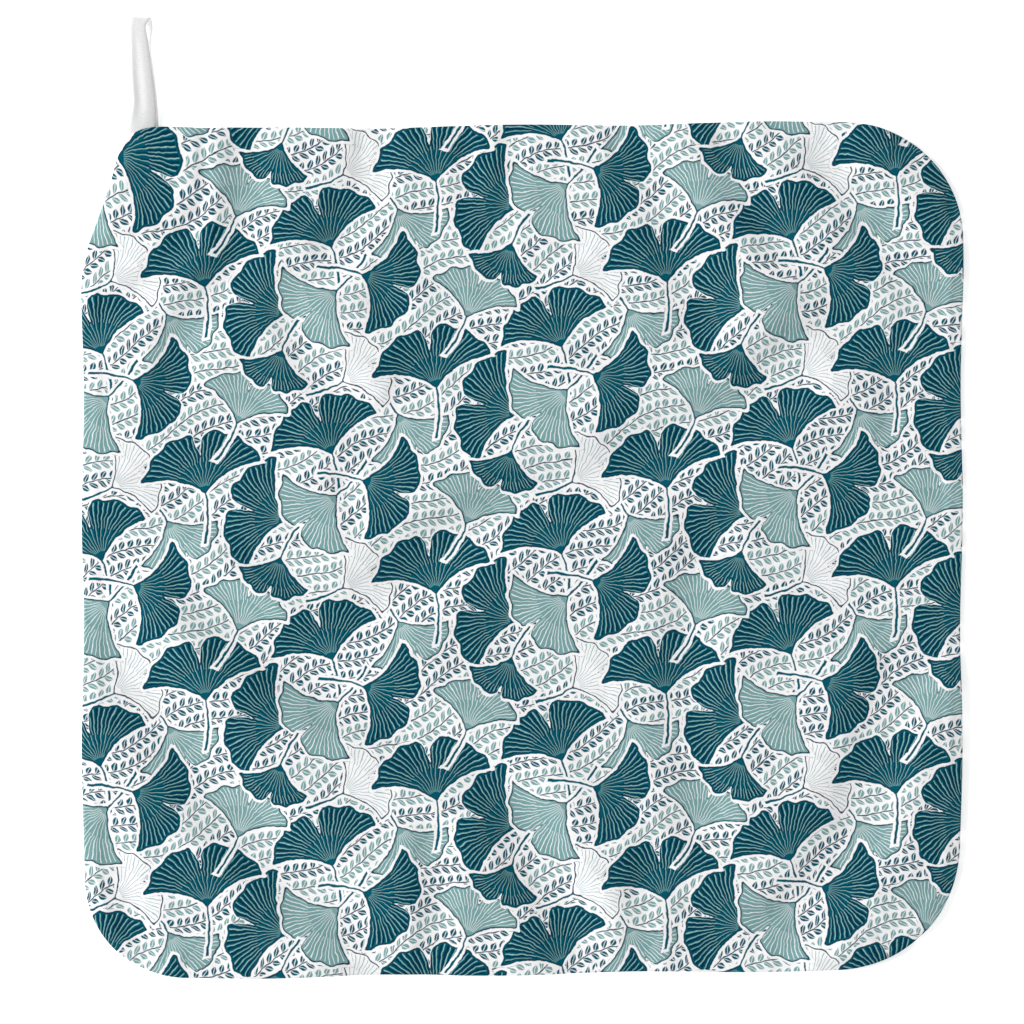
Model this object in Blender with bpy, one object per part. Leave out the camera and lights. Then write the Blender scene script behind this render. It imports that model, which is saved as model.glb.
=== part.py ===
"""Square printed hand towel with a hanging loop, laid face up and softly rumpled.

Metres, +Z up. +X runs to the towel's right, +Y towards the end of its loop, and the printed face is
up. The origin is on the surface that the towel lies on, under the middle of the whole outline.

Two sewn pieces: the plush cloth with its turned hem, and a soft tape folded into a loop. The loop's
two tails lie one on the other beneath the cloth's upper left corner.

Every plan position below is measured from the middle of the cloth, in the plane it lies in.
"""
from typing import NamedTuple

import bmesh
import bpy
import numpy as np

MM = 0.001

# Cloth
CLOTH_WIDTH = 298.7 * MM
CLOTH_LENGTH = 288.4 * MM
CLOTH_THICKNESS = 2.4 * MM
HALF_WIDTH = CLOTH_WIDTH / 2
HALF_LENGTH = CLOTH_LENGTH / 2
EDGE_SLOPE = 0.0125  # rise of the upper and lower edges towards the right
SIDE_TAPER = 0.35 * MM  # how far each side lies out at the upper edge, and in at the lower one
EDGE_WAVER = 0.4 * MM  # how far the edges stray from straight
EDGE_WAVES = 3.5  # strays along one edge
SIDE_PHASE = 0.6  # where the strays of the side edges begin, in radians
END_PHASE = 1.9  # and those of the upper and lower edges
EVEN_CELLS = 40  # cells between the hems, along either side

# Upper left corner, which the sewn loop draws outwards
TIP_MIDDLE = (-126.6 * MM, 136.5 * MM)
TIP_PULL = (-7.0 * MM, 8.6 * MM)
TIP_REACH = 16.4 * MM

# Loop tape and the way it lies under the corner
TAPE_THICKNESS = 1.0 * MM
TAPE_BEVEL = 0.3 * MM
SEWN_GAP = 0.3 * MM  # between pieces that are sewn face to face
TAIL_MIDDLE = (-128 * MM, 137 * MM)
TAIL_HALF_SIZE = (6.5 * MM, 13 * MM)
TAIL_MARGIN = 8 * MM  # the cloth stays fully raised this far round the tails
TAIL_SLOPE = 14 * MM  # and comes down over this distance

# The cloth lies flat wherever its folds would lift it less than this
FLAT_BELOW = 0.9 * MM
FOLD_TAPER = 0.15  # share of a fold's length over which each of its ends dies out
CURVE_STEPS = 5  # points between two given points of a curve


class Corner(NamedTuple):
    """One rounded corner: which side it is on, and its radius."""

    side_x: int
    side_y: int
    radius: float


class HemLine(NamedTuple):
    """One line of the hem: its distance from the edge, and its two faces' heights in the cloth."""

    inset: float
    under: float
    top: float


class Fold(NamedTuple):
    """One soft trough with a swell on either side.

    points is its course, reach the distance from the trough to the swells' crests, and rise their
    height.
    """

    name: str
    points: tuple
    reach: float
    rise: float


class TapeStation(NamedTuple):
    """One place along the loop's tape: the middle of its thickness, and its width there."""

    name: str
    x: float
    y: float
    z: float
    width: float


CORNERS = (
    Corner(-1, +1, 55 * MM),
    Corner(+1, +1, 40 * MM),
    Corner(+1, -1, 42 * MM),
    Corner(-1, -1, 35 * MM),
)

# The edge is turned under and stitched, so it is full between its thin rim and the stitching
HEM = (
    HemLine(inset=0.0 * MM, under=0.7 * MM, top=1.6 * MM),
    HemLine(inset=1.2 * MM, under=0.0 * MM, top=2.1 * MM),
    HemLine(inset=4.6 * MM, under=0.0 * MM, top=2.6 * MM),
    HemLine(inset=7.0 * MM, under=0.0 * MM, top=2.3 * MM),
    HemLine(inset=9.0 * MM, under=0.0 * MM, top=CLOTH_THICKNESS),
)

# Courses, reaches and rises in millimetres; a fold that runs out at an edge has its course drawn past it
FOLDS = (
    Fold(
        "main slant",
        (
            (-72, -30), (-56, -23), (-40, -12), (-27, 0), (-10, 12), (6, 18), (22, 21), (42, 33),
            (62, 40), (80, 48), (92, 63), (106, 73), (122, 84),
        ),
        17,
        2.6,
    ),
    Fold(
        "left fan, upper",
        (
            (-152, 42), (-138, 34), (-120, 21), (-100, 6), (-80, -8), (-60, -22),
        ),
        11,
        1.2,
    ),
    Fold(
        "left fan, middle",
        (
            (-136, 8), (-120, -6), (-100, -23), (-77, -41), (-50, -56), (-20, -70), (-4, -82), (2, -98),
            (10, -115), (19, -132), (30, -160),
        ),
        17,
        2.5,
    ),
    Fold(
        "left fan, lower",
        (
            (-150, 0), (-138, -25), (-130, -45), (-118, -62), (-104, -82), (-88, -100), (-72, -115),
            (-58, -127), (-40, -150),
        ),
        19,
        2.7,
    ),
    Fold("left foot", ((-144, -84), (-138, -104), (-134, -120), (-126, -150)), 9, 1.0),
    Fold("foot, left of middle", ((-30, -88), (-29, -100), (-29, -118), (-31, -152)), 10, 1.2),
    Fold("foot, right of middle", ((46, -92), (43, -104), (40, -120), (38, -152)), 10, 0.9),
    Fold("right upright", ((64, 20), (60, -4), (56, -36), (57, -60), (60, -84), (60, -112)), 15, 1.5),
    Fold(
        "right foot",
        (
            (135, -26), (130, -42), (124, -56), (119, -76), (113, -95), (99, -118), (76, -144),
        ),
        17,
        2.3,
    ),
    Fold("right foot corner", ((96, -132), (108, -127), (122, -129), (150, -138)), 8, 1.0),
    Fold(
        "corner pull, outer",
        (
            (-152, 70), (-138, 82), (-127, 91), (-117, 103), (-112, 116), (-113, 150),
        ),
        8,
        1.1,
    ),
    Fold(
        "corner pull, inner",
        (
            (-91, 156), (-93, 128), (-95, 108), (-99, 92), (-112, 75), (-118, 58), (-120, 44),
        ),
        12,
        1.6,
    ),
    Fold("top pull", ((-50, 152), (-51, 132), (-56, 117), (-62, 103), (-66, 90)), 12, 1.4),
    Fold("centre left", ((-82, 88), (-76, 72), (-67, 57), (-57, 46), (-48, 40)), 12, 1.4),
    Fold("centre left, tail", ((-62, 46), (-61, 30), (-59, 14), (-58, -2)), 9, 0.6),
    Fold("inner crease", ((-48, 100), (-47, 82), (-36, 72)), 9, 0.7),
    Fold("top crease, left", ((-18, 150), (-18, 128), (-17, 108)), 8, 0.7),
    Fold("top crease, right", ((-3, 150), (-4, 128), (-8, 108), (-6, 90)), 8, 0.6),
    Fold("right pull, inner", ((32, 156), (41, 131), (49, 113), (55, 98), (61, 82), (64, 64)), 15, 1.5),
    Fold("right pull, middle", ((66, 152), (72, 133), (80, 115), (90, 99), (102, 88)), 11, 1.2),
    Fold(
        "right pull, outer",
        (
            (98, 148), (106, 128), (116, 115), (125, 103), (134, 88), (139, 76),
        ),
        13,
        1.4,
    ),
    Fold("right upper corner", ((124, 150), (134, 134), (150, 118)), 7, 0.8),
    Fold("upper middle", ((2, 88), (16, 76), (32, 64), (44, 58)), 11, 0.8),
)

# The lower strand lies on the surface, turns up at the loop's end and comes back above it
# Positions and widths in millimetres
TAPE_COURSE = (
    TapeStation("lower tail", -127.2, 126.0, 0.5, 7.4),
    TapeStation("lower strand at the hem", -127.3, 143.0, 0.5, 7.4),
    TapeStation("lower strand, middle", -128.2, 158.0, 0.5, 6.8),
    TapeStation("lower strand, end", -129.4, 171.0, 0.6, 6.0),
    TapeStation("turn, low", -128.9, 177.6, 1.8, 6.5),
    TapeStation("turn, outermost", -129.2, 180.2, 4.7, 6.6),
    TapeStation("turn, high", -130.1, 177.4, 7.6, 5.4),
    TapeStation("upper strand, end", -129.5, 171.0, 8.1, 6.2),
    TapeStation("upper strand, middle", -128.7, 160.5, 6.7, 7.4),
    TapeStation("upper strand, low", -128.2, 152.0, 4.0, 7.9),
    TapeStation("upper strand at the hem", -128.9, 146.0, 2.0, 8.8),
    TapeStation("upper strand under the hem", -129.2, 141.0, 1.8, 9.4),
    TapeStation("upper tail", -128.9, 126.0, 1.8, 9.0),
)


def clear_scene() -> None:
    """Remove the objects that the file opened with."""
    for old in list(bpy.data.objects):
        bpy.data.objects.remove(old, do_unlink=True)


def linear_from_srgb(hex_colour: str) -> tuple:
    """Turn an sRGB hex colour, such as "8aa7ad", into Blender's linear RGBA."""
    channels = [int(hex_colour[i : i + 2], 16) / 255 for i in (0, 2, 4)]
    linear = [c / 12.92 if c <= 0.04045 else ((c + 0.055) / 1.055) ** 2.4 for c in channels]
    return (*linear, 1.0)


def fabric(name: str, hex_colour: str, roughness: float) -> bpy.types.Material:
    """A plain cloth material of one colour."""
    material = bpy.data.materials.new(name)
    material.use_nodes = True
    shader = material.node_tree.nodes["Principled BSDF"]
    shader.inputs["Base Color"].default_value = linear_from_srgb(hex_colour)
    shader.inputs["Roughness"].default_value = roughness
    shader.inputs["Metallic"].default_value = 0.0
    return material


def smooth_step(share: np.ndarray) -> np.ndarray:
    """Rise smoothly from 0 to 1 as share goes from 0 to 1."""
    share = np.clip(share, 0.0, 1.0)
    return share * share * (3 - 2 * share)


def smooth_curve(points: tuple, steps: int) -> np.ndarray:
    """Rows along a Catmull-Rom curve through the given rows, with steps rows in each span."""
    rows = np.asarray(points, dtype=float)
    ends = np.vstack([2 * rows[0] - rows[1], rows, 2 * rows[-1] - rows[-2]])
    t = np.linspace(0.0, 1.0, steps, endpoint=False)[:, None]
    spans = [
        0.5 * (2 * b + (c - a) * t + (2 * a - 5 * b + 4 * c - d) * t**2 + (3 * b - a - 3 * c + d) * t**3)
        for a, b, c, d in zip(ends, ends[1:], ends[2:], ends[3:])
    ]
    return np.vstack([*spans, rows[-1:]])


def nearest_on_line(x: np.ndarray, y: np.ndarray, line: np.ndarray) -> tuple:
    """Each point's distance from a line of points, and its place along it from 0 to 1."""
    step = np.diff(line, axis=0)
    length = np.linalg.norm(step, axis=1)
    offset = np.stack([x, y], axis=-1)[..., None, :] - line[:-1]
    share = np.clip((offset * step).sum(axis=-1) / length**2, 0.0, 1.0)
    gap = np.linalg.norm(offset - share[..., None] * step, axis=-1)
    nearest = gap.argmin(axis=-1)[..., None]
    reached = (np.cumsum(length) - length + share * length) / length.sum()
    return np.take_along_axis(gap, nearest, -1)[..., 0], np.take_along_axis(reached, nearest, -1)[..., 0]


def grid_lines(half_size: float) -> np.ndarray:
    """Grid lines from one edge to the other: the hem's lines, even cells, and the hem's lines again."""
    insets = np.array([line.inset for line in HEM])
    hem = half_size - insets
    even = np.linspace(-hem[-1], hem[-1], EVEN_CELLS + 1)[1:-1]
    return np.concatenate([-hem, even, hem[::-1]])


def round_corners(x: np.ndarray, y: np.ndarray) -> tuple:
    """Turn each square corner of the grid into a quarter circle.

    In the square that holds a corner's arc, a point is drawn towards the arc's centre until its
    distance from it equals the larger of its two offsets, so that square rings become round ones.
    """
    for corner in CORNERS:
        centre_x = HALF_WIDTH - corner.radius
        centre_y = HALF_LENGTH - corner.radius
        off_x = corner.side_x * x - centre_x
        off_y = corner.side_y * y - centre_y
        inside = (off_x > 0) & (off_y > 0)
        ray = np.where(inside, np.hypot(off_x, off_y), 1.0)
        shrink = np.where(inside, np.maximum(off_x, off_y) / ray, 1.0)
        x = np.where(inside, corner.side_x * (centre_x + off_x * shrink), x)
        y = np.where(inside, corner.side_y * (centre_y + off_y * shrink), y)
    return x, y


def settle_plan(x: np.ndarray, y: np.ndarray) -> tuple:
    """Give the rounded plan the slope, taper, stray edges and drawn-out corner of the real cloth."""
    turns = EDGE_WAVES * np.pi
    across = x / HALF_WIDTH
    up = y / HALF_LENGTH
    stray_x = across * (SIDE_TAPER * up + EDGE_WAVER * np.sin(turns * up + SIDE_PHASE))
    stray_y = EDGE_WAVER * up * np.sin(turns * across + END_PHASE)
    from_tip = np.hypot(x - TIP_MIDDLE[0], y - TIP_MIDDLE[1])
    drawn = np.exp(-((from_tip / TIP_REACH) ** 2))
    return x + stray_x + TIP_PULL[0] * drawn, y + stray_y + EDGE_SLOPE * x + TIP_PULL[1] * drawn


def fold_lift(x: np.ndarray, y: np.ndarray) -> np.ndarray:
    """Height of the cloth's underside over the surface, from its folds alone.

    Across a fold the height is rise * 2q / (1 + q * q), where q is the squared distance from the
    trough in units of the reach: none in the trough, all of the rise at the reach, then fading.
    """
    lift = np.full_like(x, -FLAT_BELOW)
    for fold in FOLDS:
        course = smooth_curve(fold.points, CURVE_STEPS) * MM
        gap, place = nearest_on_line(x, y, course)
        q = (gap / (fold.reach * MM)) ** 2
        ends = smooth_step(np.minimum(place, 1 - place) / FOLD_TAPER)
        lift += fold.rise * MM * ends * 2 * q / (1 + q * q)
    return np.maximum(lift, 0.0)


def cloth_lift(x: np.ndarray, y: np.ndarray) -> np.ndarray:
    """Height of the underside: the folds, and over the loop's tails the height of the two tapes."""
    beyond_x = np.maximum(np.abs(x - TAIL_MIDDLE[0]) - TAIL_HALF_SIZE[0], 0.0)
    beyond_y = np.maximum(np.abs(y - TAIL_MIDDLE[1]) - TAIL_HALF_SIZE[1], 0.0)
    beyond = np.hypot(beyond_x, beyond_y)
    raised = 1 - smooth_step((beyond - TAIL_MARGIN) / TAIL_SLOPE)
    stack = 2 * TAPE_THICKNESS + 2 * SEWN_GAP
    return raised * stack + (1 - raised) * fold_lift(x, y)


def sheet_faces(lift: np.ndarray) -> list:
    """Faces of a closed sheet: an underside grid, the same grid above it, and the rim between.

    Each cell is cut along the more level of its two diagonals, which is the one along the fold.
    """
    index = np.arange(lift.size).reshape(lift.shape)
    above = lift.size
    near_left, near_right = index[:-1, :-1], index[:-1, 1:]
    far_left, far_right = index[1:, :-1], index[1:, 1:]
    rising = np.abs(lift[1:, 1:] - lift[:-1, :-1]) <= np.abs(lift[1:, :-1] - lift[:-1, 1:])
    first = np.stack([near_left, near_right, np.where(rising, far_right, far_left)], axis=-1)
    second = np.stack([np.where(rising, near_left, near_right), far_right, far_left], axis=-1)
    upward = np.concatenate([first.reshape(-1, 3), second.reshape(-1, 3)])
    border = np.concatenate([index[0, :-1], index[:-1, -1], index[-1, :0:-1], index[:0:-1, 0]])
    ahead = np.roll(border, -1)
    rim = np.stack([border, ahead, ahead + above, border + above], axis=-1)
    return [*upward[:, ::-1].tolist(), *(upward + above).tolist(), *rim.tolist()]


def build_cloth() -> bpy.types.Object:
    """The printed cloth: one sheet of even thickness on its folds, thinner along the hem's stitching."""
    lines_x = grid_lines(HALF_WIDTH)
    lines_y = grid_lines(HALF_LENGTH)
    square_x, square_y = np.meshgrid(lines_x, lines_y)
    inset = np.minimum(HALF_WIDTH - np.abs(square_x), HALF_LENGTH - np.abs(square_y))
    hem_insets = [line.inset for line in HEM]
    under = np.interp(inset, hem_insets, [line.under for line in HEM])
    top = np.interp(inset, hem_insets, [line.top for line in HEM])
    x, y = settle_plan(*round_corners(square_x, square_y))
    lift = cloth_lift(x, y)
    layers = [np.stack([x, y, lift + height], axis=-1).reshape(-1, 3) for height in (under, top)]
    mesh = bpy.data.meshes.new("towel_cloth")
    mesh.from_pydata(np.concatenate(layers).tolist(), [], sheet_faces(lift))
    mesh.materials.append(fabric("printed plush cloth", "8aa7ad", 0.92))
    return finish_piece("towel_cloth", mesh)


def tape_section(width: float) -> np.ndarray:
    """The tape's cross-section: across and through the tape, with its four edges taken off."""
    half = width / 2
    thick = TAPE_THICKNESS / 2
    low = thick - TAPE_BEVEL
    in_from_edge = half - TAPE_BEVEL
    quarter = [(half, low), (in_from_edge, thick)]
    upper = quarter + [(-a, t) for a, t in reversed(quarter)]
    return np.array(upper + [(-a, -t) for a, t in upper])


def build_loop() -> bpy.types.Object:
    """The hanging loop: the tape's section carried along its course, closed at both tails."""
    course = smooth_curve([station[1:] for station in TAPE_COURSE], CURVE_STEPS) * MM
    course[:, 2] = np.maximum(course[:, 2], TAPE_THICKNESS / 2)  # no part dips below the surface
    centre = course[:, :3]
    ahead = np.gradient(centre, axis=0)
    ahead /= np.linalg.norm(ahead, axis=1, keepdims=True)
    across = np.array([1.0, 0.0, 0.0]) - ahead[:, :1] * ahead
    across /= np.linalg.norm(across, axis=1, keepdims=True)
    through = np.cross(across, ahead)
    sections = np.array([tape_section(width) for width in course[:, 3]])
    rings = (
        centre[:, None, :]
        + sections[:, :, :1] * across[:, None, :]
        + sections[:, :, 1:] * through[:, None, :]
    )
    stations, sides = sections.shape[:2]
    index = np.arange(stations * sides).reshape(stations, sides)
    turned = np.roll(index, -1, axis=1)
    skin = np.stack([index[:-1], turned[:-1], turned[1:], index[1:]], axis=-1).reshape(-1, 4)
    tails = [index[0].tolist(), index[-1].tolist()]
    mesh = bpy.data.meshes.new("hanging_loop")
    mesh.from_pydata(rings.reshape(-1, 3).tolist(), [], skin.tolist() + tails)
    mesh.materials.append(fabric("white loop tape", "f1f1f0", 0.88))
    return finish_piece("hanging_loop", mesh)


def finish_piece(name: str, mesh: bpy.types.Mesh) -> bpy.types.Object:
    """Turn the faces outwards, shade them smooth and put the piece in the scene."""
    shell = bmesh.new()
    shell.from_mesh(mesh)
    bmesh.ops.recalc_face_normals(shell, faces=shell.faces)
    shell.to_mesh(mesh)
    shell.free()
    mesh.shade_smooth()
    piece = bpy.data.objects.new(name, mesh)
    bpy.context.scene.collection.objects.link(piece)
    return piece


def centre_on_origin(pieces: list) -> None:
    """Move the pieces together so that the middle of their outline is over the origin."""
    corners = np.array([corner[:] for piece in pieces for corner in piece.bound_box])
    middle = (corners.min(axis=0) + corners.max(axis=0)) / 2
    for piece in pieces:
        piece.location = (-middle[0], -middle[1], 0.0)


def main() -> None:
    """Build the towel."""
    clear_scene()
    centre_on_origin([build_cloth(), build_loop()])


if __name__ == "__main__":
    main()
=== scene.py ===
"""Looks of a square printed hand towel with a hanging loop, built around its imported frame.

Metres, +Z up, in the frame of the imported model. The towel is a plush cloth printed with fan shaped leaves
over leafy sprigs, with its edge turned under and stitched, and a loop of soft white tape sewn beneath its
upper left corner.

Plan positions of the cloth, its folds and its tape are measured from the middle of the cloth, as in the
model's own source, and are then carried to the place that the frame gives the cloth.
"""

import logging
import math
from dataclasses import dataclass
from enum import Enum
from functools import partial
from typing import Callable

import bpy
import numpy as np
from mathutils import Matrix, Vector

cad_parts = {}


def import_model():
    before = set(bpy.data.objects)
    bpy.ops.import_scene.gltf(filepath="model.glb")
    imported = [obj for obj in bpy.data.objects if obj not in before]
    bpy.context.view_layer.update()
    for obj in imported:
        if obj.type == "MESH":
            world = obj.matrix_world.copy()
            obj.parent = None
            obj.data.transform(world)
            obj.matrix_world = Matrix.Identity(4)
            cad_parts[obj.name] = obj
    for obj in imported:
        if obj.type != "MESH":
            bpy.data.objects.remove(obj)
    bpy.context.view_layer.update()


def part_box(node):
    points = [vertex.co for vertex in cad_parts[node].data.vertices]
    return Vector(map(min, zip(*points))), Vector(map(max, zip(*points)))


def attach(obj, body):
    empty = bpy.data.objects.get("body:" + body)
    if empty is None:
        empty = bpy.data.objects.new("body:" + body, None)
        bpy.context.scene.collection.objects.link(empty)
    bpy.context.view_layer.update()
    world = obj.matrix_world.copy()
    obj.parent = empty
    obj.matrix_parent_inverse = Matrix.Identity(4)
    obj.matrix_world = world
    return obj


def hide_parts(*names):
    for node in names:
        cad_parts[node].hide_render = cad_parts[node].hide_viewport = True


LOG = logging.getLogger("hand_towel")

MM = 0.001
Point = tuple[float, float]
Colour = tuple[float, float, float, float]
Array = np.ndarray
Piece = bpy.types.Object
Material = bpy.types.Material
Socket = bpy.types.NodeSocket
Feed = Socket | float | tuple
AddNode = Callable[..., Socket]


# Shared helpers


def linear_from_srgb(hex_colour: str) -> Colour:
    """Turn six sRGB hex digits into Blender's linear red, green and blue, with an alpha of 1."""
    channels = [int(hex_colour[i : i + 2], 16) / 255 for i in (0, 2, 4)]
    return (*(c / 12.92 if c <= 0.04045 else ((c + 0.055) / 1.055) ** 2.4 for c in channels), 1.0)


def smooth_step(share: Array) -> Array:
    """Rise smoothly from 0 to 1 as share goes from 0 to 1: share squared times (3 - 2 share)."""
    share = np.clip(share, 0.0, 1.0)
    return share * share * (3 - 2 * share)


def smooth_curve(points: Array, steps: int) -> Array:
    """Rows along a Catmull-Rom curve, the cubic through each pair of rows that also heeds their neighbours.

    Args:
        points: The rows that the curve goes through.
        steps: How many rows each span between two of them gets.

    Returns:
        The curve's rows, ending with the last given row.
    """
    rows = np.asarray(points, dtype=float)
    ends = np.vstack([2 * rows[0] - rows[1], rows, 2 * rows[-1] - rows[-2]])
    t = np.linspace(0.0, 1.0, steps, endpoint=False)[:, None]
    spans = [
        0.5 * (2 * b + (c - a) * t + (2 * a - 5 * b + 4 * c - d) * t**2 + (3 * b - a - 3 * c + d) * t**3)
        for a, b, c, d in zip(ends, ends[1:], ends[2:], ends[3:])
    ]
    return np.vstack([*spans, rows[-1:]])


def nearest_on_line(x: Array, y: Array, line: Array) -> tuple[Array, Array]:
    """Find how far each point is from a line of points, and where along the line it is nearest.

    Args:
        x: Plan positions to the right.
        y: Plan positions upwards.
        line: The line's rows, each an x and a y.

    Returns:
        The distances, and the places along the line from 0 to 1.
    """
    step = np.diff(line, axis=0)
    length = np.linalg.norm(step, axis=1)
    gap = np.full(x.shape, np.inf)
    place = np.zeros(x.shape)
    for start, along, reach, before in zip(line, step, length, np.cumsum(length) - length):
        off_x = x - start[0]
        off_y = y - start[1]
        share = np.clip((off_x * along[0] + off_y * along[1]) / reach**2, 0.0, 1.0)
        here = np.hypot(off_x - share * along[0], off_y - share * along[1])
        closer = here < gap
        gap = np.where(closer, here, gap)
        place = np.where(closer, (before + share * reach) / length.sum(), place)
    return gap, place


def grid_faces(index: Array) -> Array:
    """Four-sided faces of a grid of vertex numbers, facing up where rows go up and columns go right."""
    corners = [index[:-1, :-1], index[:-1, 1:], index[1:, 1:], index[1:, :-1]]
    return np.stack(corners, axis=-1).reshape(-1, 4)


def tube_faces(index: Array) -> list[list[int]]:
    """Faces of a closed tube.

    Args:
        index: Vertex numbers, a row for each ring, running anticlockwise seen from the tube's far end.

    Returns:
        The faces around the tube and one across each end.
    """
    around = grid_faces(np.hstack([index, index[:, :1]]))
    return [*around.tolist(), index[0, ::-1].tolist(), index[-1].tolist()]


def add_piece(name: str, points: Array, faces: list, material: Material) -> Piece:
    """Make a smooth piece of the towel, at the origin with its place in its mesh.

    Args:
        name: The piece's name.
        points: Its vertices, in rows of x, y and z.
        faces: Its faces, as lists of vertex numbers.
        material: Its finish.

    Returns:
        The new object.
    """
    mesh = bpy.data.meshes.new(name)
    mesh.from_pydata(points.reshape(-1, 3).tolist(), [], faces)
    mesh.materials.append(material)
    mesh.shade_smooth()
    piece = bpy.data.objects.new(name, mesh)
    bpy.context.scene.collection.objects.link(piece)
    return piece


def add_field(piece: Piece, name: str, values: Array) -> None:
    """Store a value, or a vector of three, for each vertex of a piece, for its material to read."""
    kind, key = ("FLOAT", "value") if values.ndim == 1 else ("FLOAT_VECTOR", "vector")
    field = piece.data.attributes.new(name, kind, "POINT")
    field.data.foreach_set(key, values.astype(np.float32).ravel())


def add_node(tree: bpy.types.NodeTree, kind: str, *feeds: Feed, **settings: object) -> Socket:
    """Add a node with its settings and links.

    Args:
        tree: The material's node tree.
        kind: Its type without "ShaderNode", and then its operation, or a mix's kind of data, if it has one.
        feeds: What goes into its inputs, in order: a socket is linked and a value is set.
        settings: Its properties by name. A name with a capital is an input's, with "_" for each space.

    Returns:
        The first output that these settings leave in use, or None where the node has no output.
    """
    kind, _, mode = kind.partition(" ")
    node = tree.nodes.new("ShaderNode" + kind)
    if mode:
        setattr(node, "data_type" if kind == "Mix" else "operation", mode)
    for name, value in settings.items():
        if name[0].islower():
            setattr(node, name, value)
    named = [(node.inputs[name.replace("_", " ")], v) for name, v in settings.items() if name[0].isupper()]
    for slot, value in [*zip([slot for slot in node.inputs if slot.enabled], feeds), *named]:
        if isinstance(value, Socket):
            tree.links.new(value, slot)
        else:
            slot.default_value = value
    return next((slot for slot in node.outputs if slot.enabled), None)


# The print


class LeafInk(Enum):
    """What a printed leaf is filled with; the number is what the material compares."""

    WHITE = 0
    SAGE = 1
    TEAL = 2


@dataclass(frozen=True)
class PrintedLeaf:
    """One fan shaped leaf of the repeat.

    Attributes:
        x: Middle of its blade in the repeat, in millimetres.
        y: The same, upwards.
        turn: How far it is turned anticlockwise from upright, in degrees.
        size: From its stalk to its rim, in millimetres.
        opening: From its middle to either side, in degrees.
        cleft: Depth of the cleft in its rim, as a share of its size.
        stalk_bend: How far its stalk bends to the right, in leaf sizes at one size down.
        ink: What fills it.
    """

    x: float
    y: float
    turn: float
    size: float
    opening: float
    cleft: float
    stalk_bend: float
    ink: LeafInk


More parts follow.
